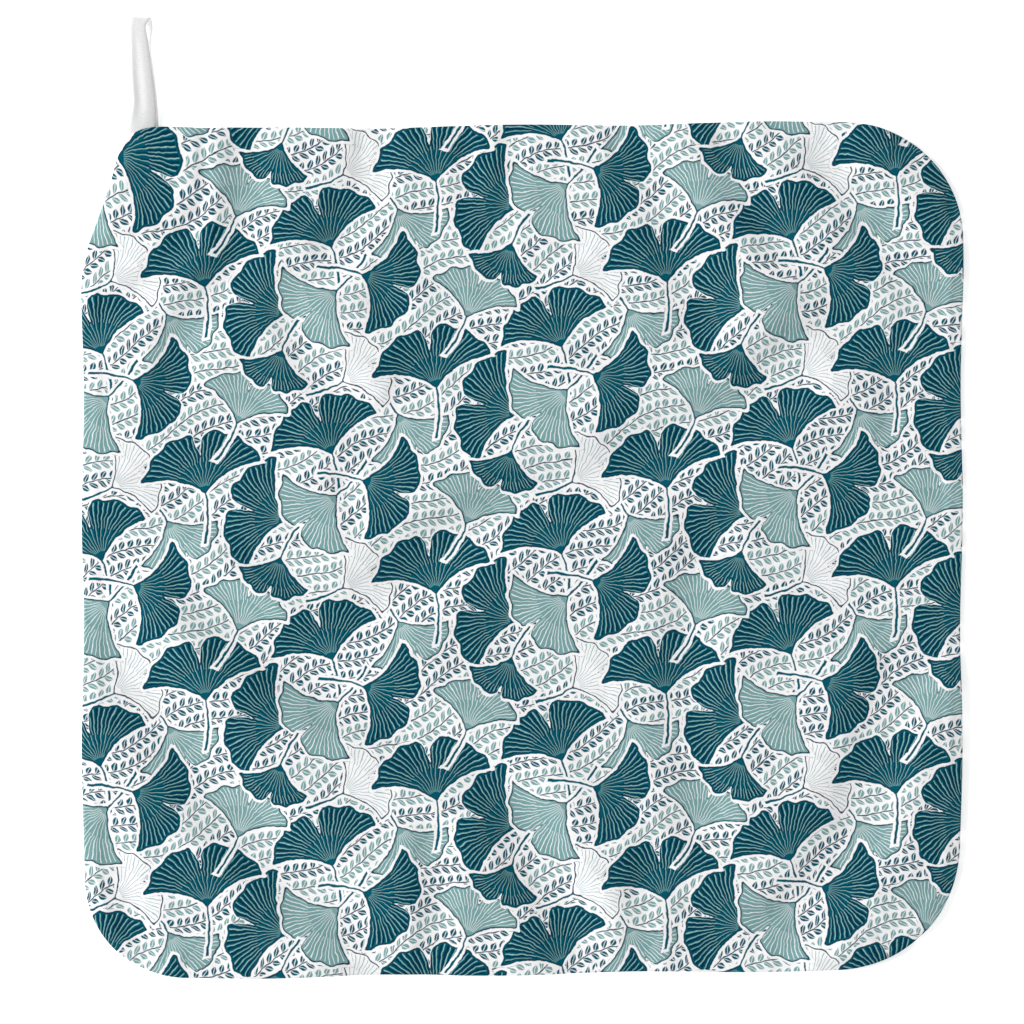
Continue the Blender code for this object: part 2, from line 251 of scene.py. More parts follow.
@dataclass(frozen=True)
class LeafPrint:
    """A dye print of scattered fan shaped leaves over rows of sprigs, on a white ground.

    Positions and widths are in millimetres. A shape is drawn from a distance that is below zero inside it,
    and its ink fades over the width of the pile's spread.
    """

    node: AddNode  # adds a node to the material that the print is drawn in
    white: Colour = linear_from_srgb("ececed")
    deep: Colour = linear_from_srgb("003246")
    teal: Colour = linear_from_srgb("005162")
    sage: Colour = linear_from_srgb("739a9b")
    mint: Colour = linear_from_srgb("93bdb8")
    repeat: Point = (78.0, 70.0)
    drop: float = 0.5  # how far each column of repeats is let down, as a share of its height
    ink_spread: float = 0.22
    halo: float = 0.9  # white margin that parts a leaf from what lies behind it
    keyline: float = 0.42  # dark outline of the leaves
    rim_ripples: float = 17.0  # of the blade's rim, in a full turn about its foot
    rim_ripple: float = 0.02  # their height, as a share of the leaf
    cleft_width: float = 0.055  # half of it at half its depth, in radians
    foot_share: float = 0.6  # of the full opening, at the blade's foot
    blade_round: float = 1.6  # how softly the sides turn into the rim
    stalk_length: float = 0.75  # as a share of the leaf
    stalk_taper: float = 0.015  # what its half width gains with each millimetre down
    stalk_overlap: float = 1.0  # how far it reaches up into the blade
    vein_pairs: float = 6.0
    vein: float = 0.03  # half width of a vein at the stalk
    vein_growth: float = 0.007  # what it gains with each millimetre outwards
    vein_thinner: float = 0.004  # what a new vein lacks of that, for each millimetre of the fork's distance
    vein_start: float = 3.0
    vein_fork: float = 11.0  # distance from the stalk at which new veins start
    shade_aside: float = 0.2  # how far a vein's darker line lies aside, in steps between veins
    shade_width: float = 3.0  # how much wider it is than the vein
    shade_start: float = 4.0
    sprig_turn: float = 24.0  # slant of the rows of sprigs, in degrees
    sprig_pitch: float = 6.4
    sprig_wave: float = 46.0
    sprig_bow: float = 2.4
    sprig_lean: float = 50.0  # of the leaflets from their stem, in degrees
    stem: float = 0.2
    stalk: float = 0.28
    leaflet_step: float = 2.9
    leaflet_half_size: Point = (1.75, 0.86)
    leaflet_foot: float = 0.3  # gap between the stem and a leaflet
    leaflet_rib: float = 0.09
    teal_rows: float = 0.55  # share of the rows of sprigs that are teal
    leaves: tuple[PrintedLeaf, ...] = (
        PrintedLeaf(10, 8, 20, 21, 68, 0.42, -0.25, LeafInk.TEAL),
        PrintedLeaf(40, 4, -150, 18, 60, 0.30, 0.25, LeafInk.SAGE),
        PrintedLeaf(66, 14, 75, 22, 66, 0.45, 0.25, LeafInk.TEAL),
        PrintedLeaf(24, 27, -60, 17, 64, 0.35, -0.25, LeafInk.WHITE),
        PrintedLeaf(47, 31, 10, 22, 70, 0.40, -0.25, LeafInk.TEAL),
        PrintedLeaf(8, 48, 130, 20, 62, 0.40, 0.25, LeafInk.SAGE),
        PrintedLeaf(33, 56, -110, 20, 68, 0.45, 0.25, LeafInk.TEAL),
        PrintedLeaf(62, 52, -20, 18, 60, 0.30, -0.25, LeafInk.SAGE),
        PrintedLeaf(72, 62, 160, 15, 58, 0.30, -0.25, LeafInk.TEAL),
    )

    def in_repeat(self, x: float, y: float) -> tuple[float, float, float]:
        """A plan offset in steps of the repeat: across, and upwards less the drop of its column."""
        across = x / self.repeat[0]
        return across, y / self.repeat[1] - self.drop * across, 0.0

    def coverage(self, distance: Feed, grow: float = 0.0) -> Socket:
        """How much ink a distance gives.

        Args:
            distance: Distance to the shape's edge, below zero inside it.
            grow: How much larger than the shape the inked place is.

        Returns:
            0.5 less the distance in units of the ink's spread, kept between 0 and 1.
        """
        level = 0.5 + grow / self.ink_spread
        return self.node("Math MULTIPLY_ADD", distance, -1 / self.ink_spread, level, use_clamp=True)

    def leaf_shape(self, repeats: Feed, leaf: PrintedLeaf) -> dict[str, Feed]:
        """Draw one leaf of the repeat, wherever it falls.

        A point is seen from the leaf's foot, as a radius and an angle from its middle line. The rim is at
        one leaf size, rippled by a sine, less cleft / (1 + (angle / the cleft's width) squared). The sides
        open from a share of the full opening at the foot to all of it at the rim. The stalk is a band
        along across = bend * down squared / size that widens towards its end.

        Args:
            repeats: The plan position in steps of the repeat.
            leaf: The leaf to draw.

        Returns:
            The sockets "blade" and "stalk", which are distances, "radius", "angle" and "spread", which is
            the angle at which the blade's side lies.
        """
        node = self.node
        sine, cosine = math.sin(math.radians(leaf.turn)), math.cos(math.radians(leaf.turn))
        width, height = self.repeat
        across_leaf = (cosine * width + sine * self.drop * height, sine * height, 0.0)
        up_leaf = (-sine * width + cosine * self.drop * height, cosine * height, 0.0)
        half = leaf.size / 2
        foot = self.in_repeat(leaf.x + half * sine, leaf.y - half * cosine)
        middle = self.in_repeat(-half * sine, half * cosine)
        highest, lowest = (tuple(part + half_step for part in middle) for half_step in (0.5, -0.5))
        offset = node("VectorMath WRAP", node("VectorMath SUBTRACT", repeats, foot), highest, lowest)
        across = node("VectorMath DOT_PRODUCT", offset, across_leaf)
        up = node("VectorMath DOT_PRODUCT", offset, up_leaf)
        radius = node("VectorMath LENGTH", node("CombineXYZ", across, up))
        angle = node("Math ARCTAN2", across, up)

        ripple = node("Math SINE", node("Math MULTIPLY_ADD", angle, self.rim_ripples, leaf.x))
        rim = node("Math MULTIPLY_ADD", ripple, self.rim_ripple, 1.0)
        notch = node("Math MULTIPLY", angle, 1 / self.cleft_width)
        notch = node("Math DIVIDE", leaf.cleft, node("Math MULTIPLY_ADD", notch, notch, 1.0))
        rim = node("Math SUBTRACT", rim, notch)
        past_rim = node("Math MULTIPLY_ADD", rim, -leaf.size, radius)

        opening = math.radians(leaf.opening)
        flare = (1 - self.foot_share) * opening / leaf.size
        spread = node("Math MULTIPLY_ADD", radius, flare, self.foot_share * opening)
        past_side = node("Math SUBTRACT", node("Math ABSOLUTE", angle), spread)
        past_side = node("Math MULTIPLY", past_side, radius)
        blade = node("Math SMOOTH_MAX", past_rim, past_side, self.blade_round)

        bow = node("Math MULTIPLY", up, up)
        stalk = node("Math MULTIPLY_ADD", bow, -leaf.stalk_bend / leaf.size, across)
        stalk = node("Math MULTIPLY_ADD", up, self.stalk_taper, node("Math ABSOLUTE", stalk))
        stalk = node("Math SUBTRACT", stalk, self.stalk)
        stalk_half = (self.stalk_length * leaf.size + self.stalk_overlap) / 2
        past_end = node("Math ABSOLUTE", node("Math ADD", up, stalk_half - self.stalk_overlap))
        stalk = node("Math MAXIMUM", stalk, node("Math SUBTRACT", past_end, stalk_half))
        return {"blade": blade, "stalk": stalk, "radius": radius, "angle": angle, "spread": spread}

    def sprigs(self, plan: Feed) -> Socket:
        """Draw wavy stems with leaflets on both sides, in rows that fill the ground.

        The plan is turned, and each row is bowed by a sine. Along a row the leaflets repeat, half a step
        apart on the two sides. A leaflet leans forward from its stem, and its half width at a place along
        it is widest * (1 - place squared), with place from -1 to 1.

        Args:
            plan: The plan position in millimetres.

        Returns:
            The colour of the ground with its sprigs.
        """
        node = self.node
        turn, lean = math.radians(self.sprig_turn), math.radians(self.sprig_lean)
        lean_sine, lean_cosine = math.sin(lean), math.cos(lean)
        row_pitch, step = self.sprig_pitch, self.leaflet_step
        half_length, widest = self.leaflet_half_size
        along = node("VectorMath DOT_PRODUCT", plan, (math.cos(turn), math.sin(turn), 0.0))
        up = node("VectorMath DOT_PRODUCT", plan, (-math.sin(turn), math.cos(turn), 0.0))
        bow = node("Math SINE", node("Math MULTIPLY", along, 2 * math.pi / self.sprig_wave))
        up = node("Math MULTIPLY_ADD", bow, -self.sprig_bow, up)
        row = node("Math FLOOR", node("Math MULTIPLY", up, 1 / row_pitch))
        draw = node("TexWhiteNoise", row, noise_dimensions="1D").node.outputs
        off_stem = node("Math SUBTRACT", node("Math MULTIPLY_ADD", row, -row_pitch, up), row_pitch / 2)
        side = node("Math SIGN", off_stem)
        aside = node("Math ABSOLUTE", off_stem)
        along = node("Math MULTIPLY_ADD", draw["Value"], 10 * step, along)
        along = node("Math MULTIPLY_ADD", side, step / 4, along)
        middle = half_length * lean_cosine
        along = node("Math WRAP", along, middle + step / 2, middle - step / 2)

        place = node("Math MULTIPLY_ADD", aside, lean_sine, -half_length - self.leaflet_foot)
        place = node("Math MULTIPLY_ADD", along, lean_cosine, place)
        place = node("Math MULTIPLY", place, 1 / half_length)
        off_rib = node("Math MULTIPLY", aside, lean_cosine)
        off_rib = node("Math ABSOLUTE", node("Math MULTIPLY_ADD", along, -lean_sine, off_rib))
        leaflet = node("Math MULTIPLY_ADD", place, place, -1.0)
        leaflet = self.coverage(node("Math MULTIPLY_ADD", leaflet, widest, off_rib))
        rib = node("Math MULTIPLY", self.coverage(off_rib, grow=self.leaflet_rib), leaflet)
        stem = self.coverage(aside, grow=self.stem)

        is_teal = node("Math LESS_THAN", draw["Color"], self.teal_rows)
        ink = node("Mix RGBA", is_teal, self.sage, self.teal)
        colour = node("Mix RGBA", leaflet, self.white, ink)
        colour = node("Mix RGBA", rib, colour, self.white)
        return node("Mix RGBA", stem, colour, self.deep)

    def leaf_colour(self, shape: Feed, side: Feed) -> Socket:
        """Colour the blade of whichever leaf lies uppermost, with its veins and its keyline.

        Veins lie at even steps across the blade, from one side to the other. Past the fork a new vein
        starts between each two. In a teal leaf a wider and darker line runs along one side of each vein.

        Args:
            shape: The blade's distance, the stalk's distance and the radius.
            side: The angle, the spread at that radius, and the number of the leaf's ink.

        Returns:
            The blade's colour.
        """
        node = self.node
        shape = node("SeparateXYZ", shape).node.outputs
        side = node("SeparateXYZ", side).node.outputs
        blade, radius, number = shape["X"], shape["Z"], side["Z"]
        is_filled = node("Math GREATER_THAN", number, LeafInk.SAGE.value - 0.5)
        is_teal = node("Math GREATER_THAN", number, LeafInk.TEAL.value - 0.5)

        share = node("Math DIVIDE", side["X"], side["Y"])
        pitch = node("Math MULTIPLY", node("Math MULTIPLY", side["Y"], radius), 1 / self.vein_pairs)
        vein_half = node("Math MULTIPLY_ADD", radius, self.vein_growth, self.vein)
        in_rim = self.coverage(blade, grow=-2 * self.keyline)
        aside, fork = self.shade_aside, self.vein_fork
        lines = {"vein": 0.0, "shade": 0.0}
        for line, offset, starts, width, thinner in (
            ("vein", 0.0, self.vein_start, 1.0, 0.0),
            ("vein", 0.5, fork, 1.0, self.vein_thinner * fork),
            ("shade", aside, self.shade_start, self.shade_width, 0.0),
            ("shade", aside + 0.5, fork, self.shade_width, self.vein_thinner * self.shade_width * fork),
        ):
            off_line = node("Math MULTIPLY_ADD", share, self.vein_pairs, offset)
            off_line = node("Math MULTIPLY", node("Math PINGPONG", off_line, 0.5), pitch)
            off_line = node("Math SUBTRACT", off_line, node("Math MULTIPLY", vein_half, width))
            inked = self.coverage(off_line, grow=-thinner)
            inked = node("Math MULTIPLY", inked, node("Math GREATER_THAN", radius, starts))
            inked = node("Math MULTIPLY", inked, in_rim)
            lines[line] = node("Math MAXIMUM", lines[line], inked)

        fill = node("Mix RGBA", is_filled, self.white, self.sage)
        shaded = node("Mix RGBA", lines["shade"], self.teal, self.deep)
        fill = node("Mix RGBA", is_teal, fill, shaded)
        vein_ink = node("Mix RGBA", is_filled, self.sage, self.white)
        vein_ink = node("Mix RGBA", is_teal, vein_ink, self.mint)
        fill = node("Mix RGBA", lines["vein"], fill, vein_ink)
        return node("Mix RGBA", self.coverage(blade, grow=-self.keyline), self.deep, fill)

    def colour(self, plan: Feed) -> Socket:
        """Draw the whole print.

        The leaves are laid one after another, and each takes over the places within its halo. What is
        known of the uppermost leaf is carried on in two vectors, and coloured once at the end.

        Args:
            plan: The plan position in millimetres.

        Returns:
            The printed colour.
        """
        node = self.node
        width, height = self.repeat
        across = node("VectorMath DOT_PRODUCT", plan, (1 / width, 0.0, 0.0))
        up = node("VectorMath DOT_PRODUCT", plan, (-self.drop / width, 1 / height, 0.0))
        repeats = node("CombineXYZ", across, up)
        far = 99.0
        shape = (far, far, 1.0)
        side = (0.0, 1.0, 0.0)
        for leaf in self.leaves:
            drawn = self.leaf_shape(repeats, leaf)
            near = node("Math MINIMUM", drawn["blade"], drawn["stalk"])
            is_upper = node("Math LESS_THAN", near, self.halo + self.ink_spread / 2)
            this_shape = node("CombineXYZ", drawn["blade"], drawn["stalk"], drawn["radius"])
            this_side = node("CombineXYZ", drawn["angle"], drawn["spread"], float(leaf.ink.value))
            shape = node("Mix VECTOR", is_upper, shape, this_shape)
            side = node("Mix VECTOR", is_upper, side, this_side)
        blade, stalk, _ = node("SeparateXYZ", shape).node.outputs
        in_halo = self.coverage(node("Math MINIMUM", blade, stalk), grow=self.halo)
        colour = node("Mix RGBA", in_halo, self.sprigs(plan), self.white)
        colour = node("Mix RGBA", self.coverage(blade), colour, self.leaf_colour(shape, side))
        return node("Mix RGBA", self.coverage(stalk), colour, self.teal)


# The finishes


@dataclass(frozen=True)
class Finish:
    """A finish of a real material, named for it."""

    real_name: str = "plain"

    def shader(self, node: AddNode) -> Socket:
        """Build the nodes of the finish up to its shader."""
        raise NotImplementedError

    def material(self) -> Material:
        """Build the finish as a node material."""
        material = bpy.data.materials.new(self.real_name)
        material.use_nodes = True
        material.node_tree.nodes.clear()
        node = partial(add_node, material.node_tree)
        node("OutputMaterial", self.shader(node))
        return material


@dataclass(frozen=True)
class PlushFinish(Finish):
    """Dye printed polyester plush: a short brushed face, matt, soft at ink edges and faintly mottled by
    painted shade.

    Its unprinted back is looped towelling, whiter and coarser than the face.
    """

    real_name: str = "dye printed polyester plush"
    back: Colour = linear_from_srgb("e6e6e6")
    roughness: float = 0.92
    pile: float = 0.6  # spacing of the brushed pile's tufts, in millimetres
    back_loops: float = 1.6  # spacing of the back's loops, in millimetres
    # Painted shade: the face is painted lighter and darker in patches, as the pile's lay would catch the
    # light
    painted_lay_shade: float = 7.0  # size of the patches in which the pile lies one way, in millimetres
    wander: float = 1.3  # how far the printed lines stray from their drawing, in millimetres
    wanders: float = 0.26  # how often they turn, in a millimetre

    def shader(self, node: AddNode) -> Socket:
        """Build the plush, which reads the fields "plan" and "printed" of its piece."""
        plan = node("Attribute", attribute_name="plan").node.outputs["Vector"]
        plan = node("VectorMath SCALE", plan, Scale=1 / MM)
        printed = node("Attribute", attribute_name="printed").node.outputs["Fac"]

        stray = node("TexNoise", plan, noise_dimensions="2D", Scale=self.wanders, Detail=3.0)
        stray = node("VectorMath SUBTRACT", stray.node.outputs["Color"], (0.5, 0.5, 0.5))
        drawn = node("VectorMath MULTIPLY_ADD", stray, (self.wander,) * 3, plan)
        colour = node("Mix RGBA", printed, self.back, LeafPrint(node).colour(drawn))

        # Painted shade of the pile's lay: the colour is scaled between 0.93 and 1.05 in patches
        painted_lay_shade = node("TexNoise", plan, noise_dimensions="2D", Scale=1 / self.painted_lay_shade, Detail=5.0, Roughness=0.75)
        painted_lay_shade = node("MapRange", painted_lay_shade, 0.3, 0.7, 0.93, 1.05)
        spacing = node("Mix", printed, 1 / self.back_loops, 1 / self.pile)
        tufts = node("TexNoise", plan, noise_dimensions="2D", Scale=spacing, Detail=2.0, Roughness=0.6)
        depth = node("Mix", printed, 0.5 * MM, 0.14 * MM)
        return node(
            "BsdfPrincipled",
            Base_Color=node("VectorMath SCALE", colour, Scale=painted_lay_shade),
            Roughness=self.roughness,
            Normal=node("Bump", Strength=0.4, Distance=depth, Height=tufts),
            Sheen_Weight=0.01,
            Sheen_Roughness=0.6,
            Specular_IOR_Level=0.04,
        )


@dataclass(frozen=True)
class TapeFinish(Finish):
    """Brushed polyester tape: soft and white, with fine ribs across it and a little light coming through.

    Its brushed outer face is matt and faintly furry. Its inner face is smoother and a purer white. The two
    faces
    also carry painted light: the outer grey is partly painted shade on the upper strand, and the inner
    white is painted lighter so that the lower strand, in the upper strand's shadow, still reads white.
    """

    real_name: str = "brushed polyester tape"
    # The outer grey is partly the brushed face's own and partly painted shade on the upper strand
    outer_grey_and_painted_shade: Colour = linear_from_srgb("dcdcdc")
    # The inner white is painted lighter: painted light on the lower strand, which the upper strand shades
    inner: Colour = linear_from_srgb("f6f6f6")
    roughness: float = 0.85
    rib: float = 0.5  # spacing of the ribs across the tape, in millimetres

    def shader(self, node: AddNode) -> Socket:
        """Build the tape, which reads the field "tape" of its piece.

        The field holds the place across and along the tape in metres, and how far its face is the inner
        one, from -1 to 1 millimetre.
        """
        place = node("Attribute", attribute_name="tape").node.outputs["Vector"]
        place = node("VectorMath SCALE", place, Scale=1 / MM)
        parts = node("SeparateXYZ", place).node.outputs
        is_inner = node("Math MULTIPLY_ADD", parts["Z"], 0.5, 0.5, use_clamp=True)
        ribs = node("Math SINE", node("Math MULTIPLY", parts["Y"], 2 * math.pi / self.rib))
        fur = node("TexNoise", place, Scale=1.1, Detail=4.0, Roughness=0.7)
        height = node("Math MULTIPLY_ADD", ribs, 0.2, fur)
        # Mix the faces: partly painted shade on the outer face, painted light on the inner face
        colour = node("Mix RGBA", is_inner, self.outer_grey_and_painted_shade, self.inner)
        shade = node("MapRange", fur, 0.3, 0.7, 0.95, 1.03)
        return node(
            "BsdfPrincipled",
            Base_Color=node("VectorMath SCALE", colour, Scale=shade),
            Roughness=self.roughness,
            Normal=node("Bump", Strength=0.5, Distance=0.16 * MM, Height=height),
            Subsurface_Weight=0.4,
            Subsurface_Radius=(1.0, 1.0, 1.0),
            Subsurface_Scale=1.2 * MM,
            Sheen_Weight=0.05,
            Sheen_Roughness=0.5,
            Specular_IOR_Level=0.15,
        )


@dataclass(frozen=True)
class ThreadFinish(Finish):
    """Spun polyester thread: white, slightly glossy, with the slant of its twist."""

    real_name: str = "spun polyester thread"
    colour: Colour = linear_from_srgb("f0f0ee")
    roughness: float = 0.6
    twist: float = 0.3  # length of one turn of its twist, in millimetres

    def shader(self, node: AddNode) -> Socket:
        """Build the thread."""
        place = node("TexCoord").node.outputs["Object"]
        twist = node("TexWave", place, Scale=1 / (self.twist * MM), bands_direction="DIAGONAL")
        shade = node("MapRange", twist, 0.0, 1.0, 0.88, 1.0)
        return node(
            "BsdfPrincipled",
            Base_Color=node("VectorMath SCALE", self.colour[:3], Scale=shade),
            Roughness=self.roughness,
            Normal=node("Bump", Strength=0.3, Distance=0.05 * MM, Height=twist),
        )


@dataclass(frozen=True)
class PaperFinish(Finish):
    """Seamless studio paper on a lit table: matt and white, with a tooth too fine to see from above.

    The light from beneath it leaves hardly a shadow.
    """

    real_name: str = "seamless white paper"
    colour: Colour = linear_from_srgb("f8f8f8")
    tooth: float = 2.0  # spacing of its tooth, in millimetres
    glow: float = 0.45

    def shader(self, node: AddNode) -> Socket:
        """Build the paper."""
        place = node("TexCoord").node.outputs["Object"]
        tooth = node("TexNoise", place, Scale=1 / (self.tooth * MM), Detail=2.0)
        return node(
            "BsdfPrincipled",
            Base_Color=self.colour,
            Roughness=0.95,
            Normal=node("Bump", Strength=0.05, Distance=0.05 * MM, Height=tooth),
            Specular_IOR_Level=0.1,
            Emission_Color=(1.0, 1.0, 1.0, 1.0),
            Emission_Strength=self.glow,
        )


# The cloth


@dataclass(frozen=True)
class Corner:
    """One rounded corner of the cloth: which side it is on, and its radius in millimetres."""

    side_x: int
    side_y: int
    radius: float


@dataclass(frozen=True)
class HemLine:
    """One line of the hem: its distance from the edge and its two faces' heights, in millimetres."""

    inset: float
    under: float
    top: float


@dataclass(frozen=True)
class Fold:
    """One soft trough with a swell on either side, in millimetres.

    Attributes:
        points: Its course over the cloth.
        reach: Distance from the trough to the swells' crests.
        rise: Height of the swells.
    """

    points: tuple[Point, ...]
    reach: float
    rise: float


@dataclass
class TowelCloth:
    """The printed cloth with its turned hem, as one closed sheet on its folds.

    Sizes are in metres and those of corners, hem lines and folds in millimetres. Positions are measured
    from the middle of the cloth.
    """

    width: float = 298.7 * MM
    length: float = 288.4 * MM
    edge_slope: float = 0.0125
    side_taper: float = 0.35 * MM
    edge_waver: float = 0.4 * MM
    edge_waves: float = 3.5
    side_phase: float = 0.6
    end_phase: float = 1.9
    cells_across: int = 170
    cells_up: int = 163
    tip_middle: Point = (-126.6 * MM, 136.5 * MM)
    tip_pull: Point = (-7.0 * MM, 8.6 * MM)
    tip_reach: float = 16.4 * MM
    tail_middle: Point = (-128 * MM, 137 * MM)
    tail_half_size: Point = (6.5 * MM, 13 * MM)
    tail_margin: float = 8 * MM
    tail_slope: float = 14 * MM
    tail_stack: float = 2.6 * MM
    slack: float = 0.6 * MM  # how far the folds' sum sinks before the cloth rests on the floor
    rest_round: float = 0.2 * MM  # how softly it meets the floor there
    fold_steps: int = 5  # rows in each span of a fold's course
    fold_taper: float = 0.15  # share of a fold's course over which either end rises
    crinkle: float = 0.05 * MM  # typical height of the cloth's fine unevenness
    crinkle_waves: int = 48
    crinkle_lengths: Point = (5 * MM, 26 * MM)
    pucker: float = 0.10 * MM  # height of the ripples that the hem's stitching draws up
    pucker_counts: tuple[int, int] = (122, 175)  # around the whole edge
    pucker_fade: float = 5 * MM
    pucker_reach: float = 20 * MM  # from the edge
    groove: float = 7.0 * MM  # distance of the hem's stitching from the edge
    stitch_height: float = 0.25 * MM  # the least that the stitching lies over the floor
    turned_hem: float = 8.4 * MM  # how far the printed face is turned under
    corners: tuple[Corner, ...] = (
        Corner(-1, +1, 55),
        Corner(+1, +1, 40),
        Corner(+1, -1, 42),
        Corner(-1, -1, 35),
    )
    hem: tuple[HemLine, ...] = (
        HemLine(0.00, 1.00, 1.35), HemLine(0.06, 0.72, 1.60), HemLine(0.22, 0.40, 1.82),
        HemLine(0.50, 0.14, 1.97), HemLine(0.90, 0.00, 2.05), HemLine(1.40, 0.00, 2.10),
        HemLine(2.00, 0.00, 2.15), HemLine(2.60, 0.00, 2.23), HemLine(3.20, 0.00, 2.34),
        HemLine(3.80, 0.00, 2.44), HemLine(4.40, 0.00, 2.51), HemLine(5.00, 0.00, 2.52),
        HemLine(5.60, 0.00, 2.48), HemLine(6.10, 0.04, 2.43), HemLine(6.50, 0.14, 2.39),
        HemLine(6.80, 0.27, 2.37), HemLine(7.00, 0.32, 2.36), HemLine(7.20, 0.27, 2.36),
        HemLine(7.60, 0.12, 2.37), HemLine(8.20, 0.00, 2.38), HemLine(8.60, 0.30, 2.39),
        HemLine(9.60, 0.32, 2.40), HemLine(11.5, 0.15, 2.40),
    )
    folds: tuple[Fold, ...] = (
        Fold(((-72, -30), (-56, -23), (-40, -12), (-27, 0), (-10, 12), (6, 18), (22, 21), (42, 33),
            (62, 40), (80, 48), (92, 63), (106, 73), (122, 84)), 17, 2.6),
        Fold(((-152, 42), (-138, 34), (-120, 21), (-100, 6), (-80, -8), (-60, -22)), 11, 1.2),
        Fold(((-136, 8), (-120, -6), (-100, -23), (-77, -41), (-50, -56), (-20, -70), (-4, -82), (2, -98),
            (10, -115), (19, -132), (30, -160)), 17, 2.5),
        Fold(((-150, 0), (-138, -25), (-130, -45), (-118, -62), (-104, -82), (-88, -100), (-72, -115),
            (-58, -127), (-40, -150)), 19, 2.7),
        Fold(((-144, -84), (-138, -104), (-134, -120), (-126, -150)), 9, 1.0),
        Fold(((-30, -88), (-29, -100), (-29, -118), (-31, -152)), 10, 1.2),
        Fold(((46, -92), (43, -104), (40, -120), (38, -152)), 10, 0.9),
        Fold(((64, 20), (60, -4), (56, -36), (57, -60), (60, -84), (60, -112)), 15, 1.5),
        Fold(((135, -26), (130, -42), (124, -56), (119, -76), (113, -95), (99, -118), (76, -144)), 17, 2.3),
        Fold(((96, -132), (108, -127), (122, -129), (150, -138)), 8, 1.0),
        Fold(((-152, 70), (-138, 82), (-127, 91), (-117, 103), (-112, 116), (-113, 150)), 8, 1.1),
        Fold(((-91, 156), (-93, 128), (-95, 108), (-99, 92), (-112, 75), (-118, 58), (-120, 44)), 12, 1.6),
        Fold(((-50, 152), (-51, 132), (-56, 117), (-62, 103), (-66, 90)), 12, 1.4),
        Fold(((-82, 88), (-76, 72), (-67, 57), (-57, 46), (-48, 40)), 12, 1.4),
        Fold(((-62, 46), (-61, 30), (-59, 14), (-58, -2)), 9, 0.6),
        Fold(((-48, 100), (-47, 82), (-36, 72)), 9, 0.7),
        Fold(((-18, 150), (-18, 128), (-17, 108)), 8, 0.7),
        Fold(((-3, 150), (-4, 128), (-8, 108), (-6, 90)), 8, 0.6),
        Fold(((32, 156), (41, 131), (49, 113), (55, 98), (61, 82), (64, 64)), 15, 1.5),
        Fold(((66, 152), (72, 133), (80, 115), (90, 99), (102, 88)), 11, 1.2),
        Fold(((98, 148), (106, 128), (116, 115), (125, 103), (134, 88), (139, 76)), 13, 1.4),
        Fold(((124, 150), (134, 134), (150, 118)), 7, 0.8),
        Fold(((2, 88), (16, 76), (32, 64), (44, 58)), 11, 0.8),
        Fold(((2, -15), (18, -19), (34, -22)), 8, 0.5),
        Fold(((128, 56), (125, 40), (126, 22)), 9, 0.5),
    )

    def __post_init__(self) -> None:
        """Work out what many methods need."""
        self.half_width = self.width / 2
        self.half_length = self.length / 2
        self.shift = np.zeros(2)

    def grid_lines(self, half_size: float, cells: int) -> Array:
        """Grid lines from one edge to the other: the hem's lines, even cells, and the hem's lines again."""
        inner = half_size - np.array([line.inset for line in self.hem]) * MM
        even = np.linspace(-inner[-1], inner[-1], cells + 1)[1:-1]
        return np.concatenate([-inner, even, inner[::-1]])

    def rounded(self, x: Array, y: Array) -> tuple[Array, Array]:
        """Turn each square corner of a grid into a quarter circle.

        In the square that holds a corner's arc, a point is drawn towards the arc's centre until its
        distance from it equals the larger of its two offsets, so that square rings become round ones.

        Args:
            x: Square grid positions to the right.
            y: Square grid positions upwards.

        Returns:
            The positions with round corners.
        """
        for corner in self.corners:
            centre_x = self.half_width - corner.radius * MM
            centre_y = self.half_length - corner.radius * MM
            off_x = corner.side_x * x - centre_x
            off_y = corner.side_y * y - centre_y
            inside = (off_x > 0) & (off_y > 0)
            ray = np.where(inside, np.hypot(off_x, off_y), 1.0)
            shrink = np.where(inside, np.maximum(off_x, off_y) / ray, 1.0)
            x = np.where(inside, corner.side_x * (centre_x + off_x * shrink), x)
            y = np.where(inside, corner.side_y * (centre_y + off_y * shrink), y)
        return x, y

    def settled(self, x: Array, y: Array) -> tuple[Array, Array]:
        """Give the rounded plan the slope, taper, stray edges and drawn-out corner of the real cloth.

        Each edge strays by a sine along it, and the corner by the loop is pulled by a bell of
        exp(-(distance / reach) squared).
        """
        turns = self.edge_waves * np.pi
        across = x / self.half_width
        up = y / self.half_length
        stray_x = across * (self.side_taper * up + self.edge_waver * np.sin(turns * up + self.side_phase))
        stray_y = self.edge_waver * up * np.sin(turns * across + self.end_phase)
        from_tip = np.hypot(x - self.tip_middle[0], y - self.tip_middle[1])
        drawn = np.exp(-((from_tip / self.tip_reach) ** 2))
        plan_x = x + stray_x + self.tip_pull[0] * drawn
        return plan_x, y + stray_y + self.edge_slope * x + self.tip_pull[1] * drawn

    def lift(self, x: Array, y: Array) -> Array:
        """Height of the cloth's underside over the floor.

        Across a fold it is rise * 2q / (1 + q squared), where q is the squared distance from the trough
        in units of the reach. Less the slack, their sum meets the floor by the rounded
        (sum + root(sum squared + round squared)) / 2. Over the loop's tails the height is the tapes'.
        """
        folds = np.full_like(x, -self.slack)
        for fold in self.folds:
            course = smooth_curve(fold.points, self.fold_steps) * MM
            gap, place = nearest_on_line(x, y, course)
            q = (gap / (fold.reach * MM)) ** 2
            ends = smooth_step(np.minimum(place, 1 - place) / self.fold_taper)
            folds += fold.rise * MM * ends * 2 * q / (1 + q * q)
        beyond_x = np.maximum(np.abs(x - self.tail_middle[0]) - self.tail_half_size[0], 0.0)
        beyond_y = np.maximum(np.abs(y - self.tail_middle[1]) - self.tail_half_size[1], 0.0)
        raised = 1 - smooth_step((np.hypot(beyond_x, beyond_y) - self.tail_margin) / self.tail_slope)
        folds = (folds + np.hypot(folds, self.rest_round)) / 2
        return np.maximum(raised * self.tail_stack, folds)

